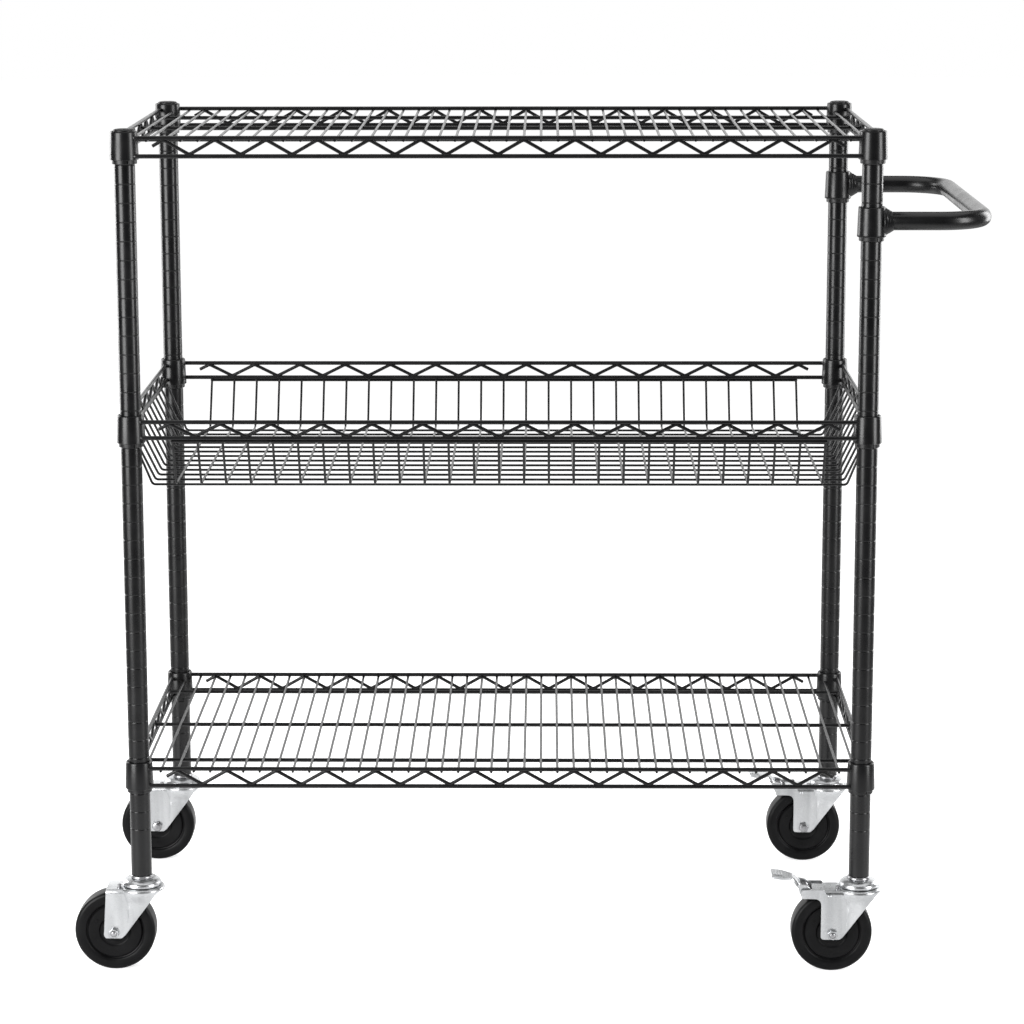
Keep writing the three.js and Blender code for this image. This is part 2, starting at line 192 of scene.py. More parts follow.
def rounded(points, radius, steps=5, closed=False):
    """The path with each corner replaced by a short curve."""
    pts = [Vector(p) for p in points]
    count = len(pts)
    radii = radius if isinstance(radius, (list, tuple)) else [radius] * count
    out = []
    for i, p in enumerate(pts):
        if not closed and i in (0, count - 1):
            out.append(p)
            continue
        back = pts[i - 1] - p
        ahead = pts[(i + 1) % count] - p
        turn = back.angle(-ahead, 0.0)
        if turn < 0.02 or radii[i] <= 0:
            out.append(p)
            continue
        reach = min(radii[i] * math.tan(turn / 2), 0.48 * back.length, 0.48 * ahead.length)
        start = p + back.normalized() * reach
        end = p + ahead.normalized() * reach
        for k in range(steps + 1):
            t = k / steps
            out.append(start * (1 - t) ** 2 + p * (2 * t * (1 - t)) + end * t ** 2)
    return out


def tube(shell, points, radius, sides=12, closed=False, mat=0, edge=0.3):
    """A round wire or tube along a path, with slightly rounded ends."""
    pts = [Vector(p) for p in points]
    radii = [radius] * len(pts)
    if not closed:
        first = (pts[1] - pts[0]).normalized()
        last = (pts[-1] - pts[-2]).normalized()
        pts = [pts[0], pts[0] + first * edge] + pts[1:-1] + [pts[-1] - last * edge, pts[-1]]
        radii = [radius - edge] + [radius] * (len(pts) - 2) + [radius - edge]
    count = len(pts)
    tangents = []
    for i in range(count):
        before = pts[i - 1] if closed or i > 0 else pts[i]
        after = pts[(i + 1) % count] if closed or i < count - 1 else pts[i]
        tangents.append((after - before).normalized())
    ref = Vector((0, 0, 1)) if abs(tangents[0].z) < 0.9 else Vector((1, 0, 0))
    side = tangents[0].cross(ref).normalized()
    verts = []
    for p, r, t in zip(pts, radii, tangents):
        side = (side - t * side.dot(t)).normalized()
        up = t.cross(side)
        for k in range(sides):
            a = 2 * math.pi * k / sides
            verts.append(p + (side * math.cos(a) + up * math.sin(a)) * r)
    faces = []
    spans = count if closed else count - 1
    for i in range(spans):
        a, b = i * sides, ((i + 1) % count) * sides
        for k in range(sides):
            m = (k + 1) % sides
            faces.append([a + k, a + m, b + m, b + k])
    if not closed:
        faces.append(list(range(sides)))
        faces.append([(count - 1) * sides + k for k in range(sides)])
    shell.add(verts, faces, mat)


def lathe(shell, profile, sides=48, centre=(0, 0, 0), axis="Z", mat=0, start=0.0, sweep=360.0):
    """A profile of (radius, height) turned about an axis, all the way or as a capped part."""
    full = sweep >= 359.9
    columns = sides if full else sides + 1
    verts = []
    for k in range(columns):
        a = math.radians(start + sweep * k / sides)
        for r, h in profile:
            if axis == "Z":
                p = (r * math.cos(a), r * math.sin(a), h)
            else:
                p = (r * math.cos(a), h, r * math.sin(a))
            verts.append(Vector(p) + Vector(centre))
    rows = len(profile)
    loop = profile[0] == profile[-1]
    faces = []
    for k in range(sides):
        a, b = k * rows, ((k + 1) % columns) * rows
        for j in range(rows - 1):
            faces.append([a + j, b + j, b + j + 1, a + j + 1])
    if loop and not full:
        faces.append(list(range(rows - 1)))
        faces.append([(columns - 1) * rows + j for j in range(rows - 1)])
    shell.add(verts, faces, mat)


def inset(points, amount):
    """A closed outline drawn counter-clockwise, moved inwards."""
    count = len(points)
    out = []
    for i, (x, z) in enumerate(points):
        ax, az = points[i - 1]
        bx, bz = points[(i + 1) % count]
        d1 = Vector((x - ax, z - az)).normalized()
        d2 = Vector((bx - x, bz - z)).normalized()
        n = Vector((-(d1.y + d2.y), d1.x + d2.x))
        scale = amount / max(0.35, 1 + d1.dot(d2))
        out.append((x + n.x * scale, z + n.y * scale))
    return out


def plate(shell, outline, low, high, edge=0.5, origin=(0, 0, 0), mat=0):
    """A flat outline in X and Z made thick along Y, with bevelled edges."""
    inner = inset(outline, edge)
    rows = [(inner, low), (outline, low + edge), (outline, high - edge), (inner, high)]
    verts = []
    for points, y in rows:
        for x, z in points:
            verts.append(Vector((x, y, z)) + Vector(origin))
    n = len(outline)
    ends = [list(range(n)), [3 * n + i for i in range(n)]]
    shell.add(verts, ends + ring_faces(len(rows), n), mat)


def hexagon(radius, turn):
    """The corners of a hexagon, the first one turned by so many degrees."""
    angles = [math.radians(60 * k + turn) for k in range(6)]
    return [(radius * math.cos(a), radius * math.sin(a)) for a in angles]


def weld(shell, centre, radius, mat=0, flatten=(1, 1, 1)):
    """A small bead of weld with an uneven surface."""
    rings, sides = 6, 10
    verts = []
    for i in range(rings + 1):
        polar = math.pi * i / rings
        for k in range(sides):
            a = 2 * math.pi * k / sides
            r = radius * (1 + random.uniform(-0.09, 0.09))
            verts.append((
                centre[0] + r * math.sin(polar) * math.cos(a) * flatten[0],
                centre[1] + r * math.sin(polar) * math.sin(a) * flatten[1],
                centre[2] + r * math.cos(polar) * flatten[2],
            ))
    shell.add(verts, ring_faces(rings + 1, sides), mat)


def finish_piece(name, shell, body, nodes, materials, smooth=38.0):
    """The Blender object of a shell: in metres, shaded smooth, riding on its CAD body."""
    mesh = bpy.data.meshes.new(name)
    mesh.from_pydata([(x * MM, y * MM, z * MM) for x, y, z in shell.verts], [], shell.faces)
    bm = bmesh.new()
    bm.from_mesh(mesh)
    for face, mat in zip(bm.faces, shell.mats):
        face.material_index = mat
        face.smooth = True
    bmesh.ops.remove_doubles(bm, verts=bm.verts, dist=1e-7)
    bmesh.ops.recalc_face_normals(bm, faces=bm.faces)
    limit = math.radians(smooth)
    for edge in bm.edges:
        edge.smooth = edge.calc_face_angle(0.0) < limit
    bm.to_mesh(mesh)
    bm.free()
    obj = bpy.data.objects.new(name, mesh)
    bpy.context.scene.collection.objects.link(obj)
    for material in materials:
        mesh.materials.append(material)
    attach(obj, body)
    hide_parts(*nodes)
    return obj


# ---------------------------------------------------------------- materials


class Nodes:
    """Short ways to add and join the nodes of one material."""

    def __init__(self, name):
        self.material = bpy.data.materials.new(name)
        self.material.use_nodes = True
        self.tree = self.material.node_tree
        self.tree.nodes.clear()
        self.out = self.tree.nodes.new("ShaderNodeOutputMaterial")
        self.shader = self.tree.nodes.new("ShaderNodeBsdfPrincipled")
        self.tree.links.new(self.shader.outputs["BSDF"], self.out.inputs["Surface"])
        self.coords = self.tree.nodes.new("ShaderNodeTexCoord").outputs["Object"]

    def scaled(self, scale):
        mapping = self.tree.nodes.new("ShaderNodeMapping")
        mapping.inputs["Scale"].default_value = scale
        self.tree.links.new(self.coords, mapping.inputs["Vector"])
        return mapping.outputs["Vector"]

    def noise(self, scale, detail=3.0, rough=0.5, vector=None):
        node = self.tree.nodes.new("ShaderNodeTexNoise")
        node.inputs["Scale"].default_value = scale
        node.inputs["Detail"].default_value = detail
        node.inputs["Roughness"].default_value = rough
        self.tree.links.new(vector or self.coords, node.inputs["Vector"])
        return node.outputs["Fac"]

    def ramp(self, value, stops):
        node = self.tree.nodes.new("ShaderNodeValToRGB")
        elements = node.color_ramp.elements
        while len(elements) < len(stops):
            elements.new(0.5)
        for element, (position, colour) in zip(elements, stops):
            element.position = position
            element.color = (*colour, 1.0)
        self.tree.links.new(value, node.inputs["Fac"])
        return node.outputs["Color"]

    def spread(self, value, low, high, start=0.3, end=0.7):
        """The value mapped from start..end to low..high."""
        node = self.tree.nodes.new("ShaderNodeMapRange")
        node.inputs["To Min"].default_value = low
        node.inputs["To Max"].default_value = high
        node.inputs["From Min"].default_value = start
        node.inputs["From Max"].default_value = end
        self.tree.links.new(value, node.inputs["Value"])
        return node.outputs["Result"]

    def bump(self, height, distance, strength=1.0, under=None):
        node = self.tree.nodes.new("ShaderNodeBump")
        node.inputs["Distance"].default_value = distance
        node.inputs["Strength"].default_value = strength
        self.tree.links.new(height, node.inputs["Height"])
        if under is not None:
            self.tree.links.new(under, node.inputs["Normal"])
        return node.outputs["Normal"]

    def put(self, socket, value):
        if isinstance(value, (int, float, tuple)):
            self.shader.inputs[socket].default_value = value
        else:
            self.tree.links.new(value, self.shader.inputs[socket])


def powder_coat():
    n = Nodes("black_powder_coat")
    broad = n.noise(35.0, 4.0)
    peel = n.noise(900.0, 2.0)
    fine = n.noise(4200.0, 2.0)
    shades = [(0.35, (0.0030, 0.0030, 0.0034)), (0.7, (0.0060, 0.0060, 0.0065))]
    n.put("Base Color", n.ramp(broad, shades))
    n.put("Roughness", n.spread(broad, 0.25, 0.33))
    n.put("Specular IOR Level", 0.42)
    n.put("Normal", n.bump(fine, 0.00002, 0.25, n.bump(peel, 0.00005, 0.25)))
    return n.material


def black_plastic():
    n = Nodes("black_moulded_plastic")
    broad = n.noise(60.0, 3.0)
    grain = n.noise(2600.0, 3.0)
    shades = [(0.3, (0.0035, 0.0035, 0.0040)), (0.7, (0.0075, 0.0075, 0.0080))]
    n.put("Base Color", n.ramp(broad, shades))
    n.put("Roughness", n.spread(broad, 0.36, 0.47))
    n.put("Specular IOR Level", 0.4)
    n.put("Normal", n.bump(grain, 0.00005, 0.5))
    return n.material


def wheel_black():
    n = Nodes("black_wheel")
    broad = n.noise(45.0, 4.0)
    grain = n.noise(1800.0, 4.0, 0.6)
    shades = [(0.3, (0.0028, 0.0028, 0.0031)), (0.72, (0.0062, 0.0062, 0.0066))]
    n.put("Base Color", n.ramp(broad, shades))
    n.put("Roughness", n.spread(broad, 0.28, 0.38))
    n.put("Specular IOR Level", 0.13)
    n.put("Normal", n.bump(grain, 0.00008, 0.5))
    return n.material


def zinc():
    n = Nodes("bright_zinc")
    # Painted shade: soft vertical bands of lighter and darker zinc in the base colour, standing in for the
    # shading bands of the pressed fork cheeks.
    painted_shade_bands = n.noise(62.0, 2.0, 0.5, n.scaled((1.0, 1.0, 0.12)))
    streak = n.noise(260.0, 4.0, 0.55, n.scaled((1.0, 1.0, 9.0)))
    fine = n.noise(3000.0, 2.0)
    # The base colour carries the painted shade bands; the streaks below only change roughness and bump.
    n.put("Base Color", n.ramp(painted_shade_bands, [(0.32, (0.50, 0.51, 0.52)), (0.68, (0.68, 0.69, 0.70))]))
    n.put("Metallic", 1.0)
    n.put("Roughness", n.spread(streak, 0.24, 0.38))
    n.put("Normal", n.bump(fine, 0.00003, 0.3, n.bump(streak, 0.00006, 0.35)))
    return n.material


def bolt_steel():
    n = Nodes("plated_bolt_steel")
    broad = n.noise(150.0, 4.0)
    turned = n.noise(1500.0, 3.0)
    n.put("Base Color", n.ramp(broad, [(0.3, (0.30, 0.30, 0.31)), (0.7, (0.44, 0.44, 0.45))]))
    n.put("Metallic", 1.0)
    n.put("Roughness", n.spread(broad, 0.22, 0.36))
    n.put("Normal", n.bump(turned, 0.00005, 0.4))
    return n.material


def bronze():
    n = Nodes("sintered_bronze")
    pores = n.noise(2200.0, 4.0, 0.6)
    n.put("Base Color", n.ramp(pores, [(0.35, (0.16, 0.11, 0.06)), (0.65, (0.30, 0.22, 0.13))]))
    n.put("Metallic", 1.0)
    n.put("Roughness", n.spread(pores, 0.4, 0.6))
    n.put("Normal", n.bump(pores, 0.0001, 0.6))
    return n.material


def pad_rubber():
    n = Nodes("brake_pad_rubber")
    grain = n.noise(1400.0, 5.0, 0.65)
    n.put("Base Color", n.ramp(grain, [(0.3, (0.015, 0.015, 0.015)), (0.7, (0.035, 0.034, 0.033))]))
    n.put("Roughness", n.spread(grain, 0.7, 0.9))
    n.put("Normal", n.bump(grain, 0.00015, 0.7))
    return n.material


def floor_paint():
    """Pale paint near the cart that turns grey further out, where only reflections show it.

    For the camera it glows more with distance, up to white, so that it meets the background
    without an edge. For everything else it glows a little, and only near the cart.
    """
    n = Nodes("pale_floor")
    path = n.tree.nodes.new("ShaderNodeLightPath")
    reach = n.tree.nodes.new("ShaderNodeVectorMath")
    reach.operation = "LENGTH"
    n.tree.links.new(n.coords, reach.inputs[0])
    distance = reach.outputs["Value"]
    choose = n.tree.nodes.new("ShaderNodeMix")
    choose.data_type = "FLOAT"
    n.tree.links.new(path.outputs["Is Camera Ray"], choose.inputs[0])
    n.tree.links.new(n.spread(distance, 0.1, 0.0, 0.8, 1.6), choose.inputs[2])
    n.tree.links.new(n.spread(distance, 0.62, 1.0, 0.8, 2.0), choose.inputs[3])
    n.put("Emission Color", (1.0, 1.0, 1.0, 1.0))
    n.put("Emission Strength", choose.outputs[0])
    broad = n.noise(2.2, 4.0)
    grain = n.noise(160.0, 3.0)
    tint = n.tree.nodes.new("ShaderNodeMix")
    tint.data_type = "RGBA"
    n.tree.links.new(n.spread(distance, 0.0, 1.0, 0.9, 1.9), tint.inputs[0])
    pale = n.ramp(broad, [(0.2, (0.86, 0.86, 0.865)), (0.8, (0.90, 0.90, 0.90))])
    n.tree.links.new(pale, tint.inputs[6])
    tint.inputs[7].default_value = (0.16, 0.16, 0.16, 1.0)
    n.put("Base Color", tint.outputs[2])
    n.put("Roughness", n.spread(grain, 0.62, 0.74))
    n.put("Normal", n.bump(grain, 0.0002, 0.15))
    return n.material


COAT = powder_coat()
PLASTIC = black_plastic()
WHEEL = wheel_black()
ZINC = zinc()
STEEL = bolt_steel()
BRONZE = bronze()
PAD = pad_rubber()


# ---------------------------------------------------------------- camera, light and floor


# Metres and degrees. The camera looks from a little above the top shelf, pitched down.
CAMERA_PLACE = (0.02295, -3.8072, 1.3387)
CAMERA_PITCH, CAMERA_ROLL, CAMERA_YAW = 10.474, 0.089, 0.624
CAMERA_LENS, CAMERA_SENSOR = 107.5, 36.0
CAMERA_SHIFT_Y = -0.08

# Name, place, point it faces, width and height in metres, and power in watts.
SOFT_BOXES = [
    ("light_top", (0.0, 0.2, 3.4), (0.0, 0.0, 0.0), (4.4, 3.4), 55.0),
    ("light_left", (-2.2, -2.1, 1.15), (0.0, 0.0, 0.75), (1.5, 2.2), 105.0),
    ("light_right", (2.7, -1.6, 1.15), (0.0, 0.0, 0.75), (0.9, 2.2), 66.0),
    ("light_back", (0.0, 3.6, 1.3), (0.0, 0.0, 0.6), (6.0, 2.4), 60.0),
    ("light_rear_left", (-2.6, 1.9, 1.15), (0.0, 0.0, 0.75), (1.1, 2.2), 50.0),
    ("light_rear_right", (2.6, 1.9, 1.15), (0.0, 0.0, 0.75), (1.1, 2.2), 50.0),
]
WORLD_LIGHT, WORLD_SEEN = 0.10, 1.0
FLOOR_RADIUS = 16.0


def camera():
    data = bpy.data.cameras.new("camera")
    obj = bpy.data.objects.new("camera", data)
    bpy.context.scene.collection.objects.link(obj)
    data.sensor_width = CAMERA_SENSOR
    data.lens = CAMERA_LENS
    data.shift_y = CAMERA_SHIFT_Y
    data.clip_end = 60.0
    obj.location = CAMERA_PLACE
    pitch, roll, yaw = math.radians(90 - CAMERA_PITCH), math.radians(CAMERA_ROLL), math.radians(CAMERA_YAW)
    obj.rotation_euler = (pitch, roll, yaw)
    bpy.context.scene.camera = obj


def soft_box(name, place, target, size, power):
    data = bpy.data.lights.new(name, "AREA")
    data.shape = "RECTANGLE"
    data.size, data.size_y = size
    data.energy = power
    obj = bpy.data.objects.new(name, data)
    bpy.context.scene.collection.objects.link(obj)
    obj.location = place
    aim = Vector(target) - Vector(place)
    obj.rotation_euler = aim.to_track_quat("-Z", "Y").to_euler()
    obj.visible_camera = False


def studio():
    """A world that is white to the camera and dim as a light, the soft boxes and the floor."""
    scene = bpy.context.scene
    scene.view_settings.view_transform = "Standard"
    world = bpy.data.worlds.new("studio")
    world.use_nodes = True
    scene.world = world
    tree = world.node_tree
    tree.nodes.clear()
    out = tree.nodes.new("ShaderNodeOutputWorld")
    mix = tree.nodes.new("ShaderNodeMixShader")
    lit = tree.nodes.new("ShaderNodeBackground")
    seen = tree.nodes.new("ShaderNodeBackground")
    path = tree.nodes.new("ShaderNodeLightPath")
    lit.inputs["Color"].default_value = (1.0, 1.0, 1.0, 1.0)
    lit.inputs["Strength"].default_value = WORLD_LIGHT
    seen.inputs["Color"].default_value = (1.0, 1.0, 1.0, 1.0)
    seen.inputs["Strength"].default_value = WORLD_SEEN
    tree.links.new(path.outputs["Is Camera Ray"], mix.inputs["Fac"])
    tree.links.new(lit.outputs["Background"], mix.inputs[1])
    tree.links.new(seen.outputs["Background"], mix.inputs[2])
    tree.links.new(mix.outputs["Shader"], out.inputs["Surface"])

    for name, place, target, size, power in SOFT_BOXES:
        soft_box(name, place, target, size, power)

    mesh = bpy.data.meshes.new("floor")
    bm = bmesh.new()
    bmesh.ops.create_circle(bm, cap_ends=True, segments=96, radius=FLOOR_RADIUS)
    bm.to_mesh(mesh)
    bm.free()
    mesh.materials.append(floor_paint())
    floor = bpy.data.objects.new("floor", mesh)
    scene.collection.objects.link(floor)


camera()
studio()


# ---------------------------------------------------------------- posts, caps, sleeves, collars


def sleeve_radius(z, top, bottom):
    """The outer radius of a tapered sleeve at height z, inside a collar from bottom to top."""
    low, high = bottom - SLEEVE_SHOWING, top - SLEEVE_INSET
    return SLEEVE_BOTTOM_R - (SLEEVE_BOTTOM_R - SLEEVE_TOP_R) * (z - low) / (high - low)


def post_shell(x, y):
    """A tube with a shallow groove at every notch."""
    shell = Shell()
    profile = [(POST_BORE_R, POST_LOW), (12.1, POST_LOW), (POST_R, POST_LOW + 0.5), (POST_R, POST_LOW + 1.0)]
    z = BOTTOM_Z + NOTCH_OFFSET - NOTCHES_BELOW * NOTCH_PITCH
    while z < POST_HIGH - 3:
        profile += [(POST_R - depth, z + height) for height, depth in GROOVE]
        z += NOTCH_PITCH
    profile += [(POST_R, POST_HIGH - 0.9), (POST_R, POST_HIGH - 0.4)]
    profile += [(12.1, POST_HIGH), (POST_BORE_R, POST_HIGH), (POST_BORE_R, POST_LOW)]
    lathe(shell, profile, 56, (x, y, 0))
    return shell


def cap_shell(x, y):
    """A plug with a domed head that is as wide as the post."""
    shell = Shell()
    top = POST_HIGH
    profile = [
        (0.0, top - 12), (10.4, top - 12), (10.9, top - 11.4), (10.9, top + 0.3),
        (12.2, top + 0.3), (12.5, top + 0.6), (12.5, top + 1.2), (12.1, top + 1.9),
        (10.8, top + 2.6), (8.4, top + 3.05), (4.5, top + 3.25), (0.0, top + 3.3),
    ]
    lathe(shell, profile, 48, (x, y, 0))
    return shell


def sleeve_shell(x, y, z, top, bottom):
    """Two tapered half shells, with a slit at each side and a lip below the collar."""
    shell = Shell()
    low, high = bottom - SLEEVE_SHOWING, top - SLEEVE_INSET
    under = sleeve_radius(bottom - 0.4, top, bottom)
    profile = [
        (SLEEVE_BORE_R, low + 0.3), (13.1, low), (14.5, low), (14.95, low + 0.5), (under, bottom - 0.4),
        (SLEEVE_TOP_R, high), (SLEEVE_BORE_R, high), (SLEEVE_BORE_R, low + 0.3),
    ]
    for start in (SPLIT_AT + SPLIT_HALF, SPLIT_AT + 180.0 + SPLIT_HALF):
        lathe(shell, profile, 28, (x, y, z), start=start, sweep=180.0 - 2 * SPLIT_HALF)
    return shell


def collar_profile(top, bottom):
    """A tapered collar: its bore follows the sleeve, and its upper edge is rounded."""
    bore_low = sleeve_radius(bottom, top, bottom) + SLEEVE_FIT
    bore_high = sleeve_radius(top, top, bottom) + SLEEVE_FIT
    return [
        (bore_low, bottom + 0.3), (bore_low + 0.4, bottom), (COLLAR_R - 0.5, bottom),
        (COLLAR_R, bottom + 0.5), (COLLAR_R - 0.05, bottom + 3.0), (16.1, top - 1.6),
        (15.85, top - 0.6), (15.3, top - 0.05), (14.8, top), (bore_high + 0.3, top),
        (bore_high, top - 0.4), (bore_low, bottom + 0.3),
    ]


def add_collar(shell, x, y, z, top, bottom):
    lathe(shell, collar_profile(top, bottom), 56, (x, y, z))


# ---------------------------------------------------------------- shelves and basket


def zigzag_path(pitch, peaks, drop):
    """Bends of the zigzag wire along one side, around the side's mid-height."""
    rise = drop / 2 - RAIL_INSET
    slope = rise / (pitch / 4)
    last = (peaks - 1) / 2 * pitch
    bends = [(-last - ZIGZAG_TAIL, rise - ZIGZAG_TAIL * slope)]
    for i in range(2 * (peaks - 1) + 1):
        bends.append((-last + i * pitch / 2, rise if i % 2 == 0 else -rise))
    bends.append((last + ZIGZAG_TAIL, rise - ZIGZAG_TAIL * slope))
    flat = [(u, 0.0, v) for u, v in bends]
    return rounded(flat, ZIGZAG_BEND, 4)


def add_rail(shell, start, end, outward):
    """A rail from collar to collar, with a weld at each end."""
    tube(shell, (start, end), RAIL_R, 14)
    along = (Vector(end) - Vector(start)).normalized()
    flatten = [1.0 + 0.1 * abs(along.x), 1.0 + 0.1 * abs(along.y), 0.95]
    for corner, inward in ((Vector(start), along), (Vector(end), -along)):
        weld(shell, corner + inward * 0.6 - Vector(outward) * 0.5, RAIL_WELD_R, flatten=flatten)


def add_sides(shell, z, drop):
    """Rails, zigzags, collars and welds of a shelf or of the basket's frame."""
    middle = z - drop / 2
    long_half, short_half = HALF_X - RAIL_START, HALF_Y - RAIL_START
    long_wire = zigzag_path(LONG_PITCH, LONG_PEAKS, drop)
    short_wire = zigzag_path(SHORT_PITCH, SHORT_PEAKS, drop)
    for side in (-1, 1):
        y = side * RAIL_Y
        for level in (z, z - drop):
            add_rail(shell, (MID_X - long_half, y, level), (MID_X + long_half, y, level), (0, side, 0))
        tube(shell, [(MID_X + p.x, y, middle + p.z) for p in long_wire], ZIGZAG_R, 10)
        x = MID_X + side * RAIL_X
        for level in (z, z - drop):
            add_rail(shell, (x, -short_half, level), (x, short_half, level), (side, 0, 0))
        tube(shell, [(x, p.x, middle - p.z) for p in short_wire], ZIGZAG_R, 10)
    for place in PLACES:
        px, py = POSTS[place]
        add_collar(shell, px, py, z, COLLAR_TOP, COLLAR_BOTTOM)


def shelf_shell(z):
    """A shelf: its sides, the deck wires across it and the braces under them."""
    shell = Shell()
    add_sides(shell, z, SHELF_DROP)
    deck_x = [MID_X + (i - (DECK_COUNT - 1) / 2) * DECK_PITCH for i in range(DECK_COUNT)]
    level = z + DECK_Z
    for x in deck_x:
        at_collar = x in (deck_x[0], deck_x[-1])
        half = HALF_Y - DECK_START if at_collar else RAIL_Y + DECK_PAST
        tube(shell, ((x, -half, level), (x, half, level)), DECK_R, 12)
        if not at_collar:
            for side in (-1, 1):
                spot = (x, side * (RAIL_Y - 1.2), level + 0.6)
                weld(shell, spot, DECK_WELD_R, flatten=(1.0, 1.1, 0.8))
    end = RAIL_X - 1.0
    low, high = z + BRACE_Z, z + BRACE_END_Z
    for y in (-BRACE_Y, 0.0, BRACE_Y):
        path = [(-end, y, high), (1.2 - end, y, low), (end - 1.2, y, low), (end, y, high)]
        path = [(MID_X + u, v, w) for u, v, w in path]
        tube(shell, rounded(path, 3.0, 4), BRACE_R, 12)
        for x in deck_x[1:-1]:
            weld(shell, (x, y, (level + low) / 2), BRACE_WELD_R, flatten=(1.0, 1.0, 0.7))
    return shell


def frame_shell(z):
    """The basket's frame, which has no deck."""
    shell = Shell()
    add_sides(shell, z, BASKET_DROP)
    return shell


def tub_shell(z):
    """The basket: a rim wire along each side, crosswise wires above and lengthwise wires below."""
    shell = Shell()
    rim_z = z + TUB_RIM_Z
    floor_z = z + TUB_FLOOR_Z
    rim_half_x = (CROSSWISE // 2) * TUB_PITCH + RIM_PAST
    rim_half_y = (LENGTHWISE // 2) * TUB_PITCH + RIM_PAST
    for side in (-1, 1):
        y = side * RAIL_Y
        tube(shell, ((MID_X - rim_half_x, y, rim_z), (MID_X + rim_half_x, y, rim_z)), RIM_R, 12)
        x = MID_X + side * RAIL_X
        tube(shell, ((x, -rim_half_y, rim_z), (x, rim_half_y, rim_z)), RIM_R, 12)
    cross = [MID_X + (i - CROSSWISE // 2) * TUB_PITCH for i in range(CROSSWISE)]
    along = [(i - LENGTHWISE // 2) * TUB_PITCH for i in range(LENGTHWISE)]
    level = floor_z + TUB_R + 0.05
    for x in cross:
        path = [(x, -RAIL_Y + 0.4, rim_z), (x, -TUB_FLOOR_Y, level)]
        path += [(x, -v, w) for _, v, w in reversed(path)]
        tube(shell, rounded(path, TUB_BEND, 5), TUB_R, 10)
        for side in (-1, 1):
            weld(shell, (x, side * (RAIL_Y - 1.0), rim_z), RIM_WELD_R, flatten=(1, 0.9, 0.9))
    level = floor_z - TUB_R - 0.05
    for y in along:
        past = max(0.0, abs(y) - (RAIL_Y - RIM_CUT))
        top = RAIL_X - past - 0.4
        path = [(-top, y, rim_z), (-TUB_FLOOR_X, y, level)]
        path += [(-u, y, w) for u, _, w in reversed(path)]
        path = [(MID_X + u, v, w) for u, v, w in path]
        tube(shell, rounded(path, TUB_BEND, 5), TUB_R, 10)
        for side in (-1, 1):
            weld(shell, (MID_X + side * top, y, rim_z), RIM_WELD_R, flatten=(0.9, 1, 0.9))
    for x in cross:
        for y in along:
            weld(shell, (x, y, floor_z), MESH_WELD_R, flatten=(1, 1, 0.7))
    return shell


def arc_corners(path, radius, steps):
    """A path with true circular arcs at its right-angled corners."""
    pts = [Vector(p) for p in path]
    out = [pts[0]]
    for i in range(1, len(pts) - 1):
        back = (pts[i - 1] - pts[i]).normalized()
        ahead = (pts[i + 1] - pts[i]).normalized()
        centre = pts[i] + (back + ahead) * radius
        for k in range(steps + 1):
            a = math.pi / 2 * k / steps
            out.append(centre - ahead * radius * math.cos(a) - back * radius * math.sin(a))
    out.append(pts[-1])
    return out


def add_flare(shell, y):
    """The weld between collar and handle tube: a cone with ripples running round it."""
    rings, sides = 14, 48
    tube_r = HANDLE_R - 0.05
    verts = []
    for i in range(rings + 1):
        t = i / rings
        fall = 1 - t
        bead = 0.25 * math.sin(t * 7.5 * math.pi) * fall
        x = RIGHT_X + FLARE_START + FLARE_LENGTH * t
        wide = tube_r + FLARE_WIDE * fall + bead
        tall = min(FLARE_TALLEST, tube_r + FLARE_TALL * fall) + bead
        for k in range(sides):
            a = 2 * math.pi * k / sides
            rough = 1 + random.uniform(-0.018, 0.018) * min(1.0, (wide - tube_r + 0.05) * 2)
            up = HANDLE_Z - 0.7 + tall * rough * math.sin(a)
            verts.append((x, y + wide * rough * math.cos(a), up))
    shell.add(verts, ring_faces(rings + 1, sides))


def handle_shell():
    """The bent handle tube, its two collars and the welds between them."""
    shell = Shell()
    start = RIGHT_X + HANDLE_START
    path = [(start, FRONT_Y, HANDLE_Z), (HANDLE_END_X, FRONT_Y, HANDLE_Z)]
    path += [(HANDLE_END_X, REAR_Y, HANDLE_Z), (start, REAR_Y, HANDLE_Z)]
    tube(shell, arc_corners(path, HANDLE_BEND, 14), HANDLE_R, 36)
    for y in (FRONT_Y, REAR_Y):
        add_collar(shell, RIGHT_X, y, HANDLE_Z, HANDLE_TOP, HANDLE_BOTTOM)
        add_flare(shell, y)
    return shell


for level_name, level_z in (("bottom", BOTTOM_Z), ("top", TOP_Z)):
    name = "shelf_" + level_name
    finish_piece(name + "_welded", shelf_shell(level_z), "cart", [name], [COAT])
finish_piece("basket_frame_welded", frame_shell(BASKET_Z), "cart", ["basket_frame"],
             [COAT])
finish_piece("basket_wires", tub_shell(BASKET_Z), "cart", ["basket_tub"], [COAT])
finish_piece("push_handle_tube", handle_shell(), "cart", ["push_handle"], [COAT], 50.0)

for place, (post_x, post_y) in POSTS.items():
    finish_piece("post_tube_" + place, post_shell(post_x, post_y), "cart", ["post_" + place],
                 [COAT], 60.0)
    finish_piece("post_plug_" + place, cap_shell(post_x, post_y), "cart", ["cap_" + place],
                 [PLASTIC])
    for level_name, level_z in (("bottom", BOTTOM_Z), ("basket", BASKET_Z), ("top", TOP_Z)):
        half_shells = sleeve_shell(post_x, post_y, level_z, COLLAR_TOP, COLLAR_BOTTOM)
        finish_piece(f"sleeve_halves_{level_name}_{place}", half_shells, "cart",
                     [f"sleeve_{level_name}_{place}"], [PLASTIC])
    if post_x > MID_X:
        half_shells = sleeve_shell(post_x, post_y, HANDLE_Z, HANDLE_TOP, HANDLE_BOTTOM)
        finish_piece(f"sleeve_halves_handle_{place}", half_shells, "cart",
                     [f"sleeve_handle_{place}"], [PLASTIC])


# ---------------------------------------------------------------- casters


